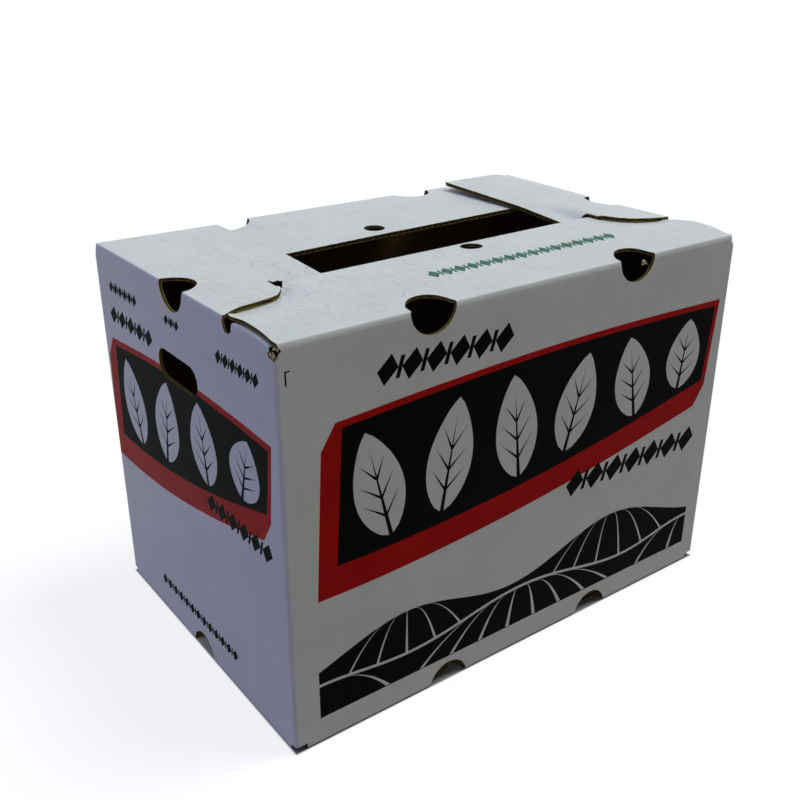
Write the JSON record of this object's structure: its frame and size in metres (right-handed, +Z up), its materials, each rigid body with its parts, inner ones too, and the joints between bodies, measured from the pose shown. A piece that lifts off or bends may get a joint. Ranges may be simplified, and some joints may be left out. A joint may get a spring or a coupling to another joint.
{
  "type": "vented produce carton",
  "caption": "White-lined corrugated produce carton with interlocked top flaps, a long top opening, hand holes in both ends and round vents across the folds.",
  "frame": {"origin": "centre of the carton's footprint, on the surface it stands on", "axes": "+X along the long side, towards the end whose top flap stands up; +Y from the front wall, whose top flap lies over the others, to the back; +Z up"},
  "size_m": [0.5334, 0.3556, 0.391],
  "materials": {
    "carton": "matte white printed liner outside, brown kraft liner and fluting inside"
  },
  "bodies": {
    "root": {"carton": "carton"}
  },
  "joints": []
}
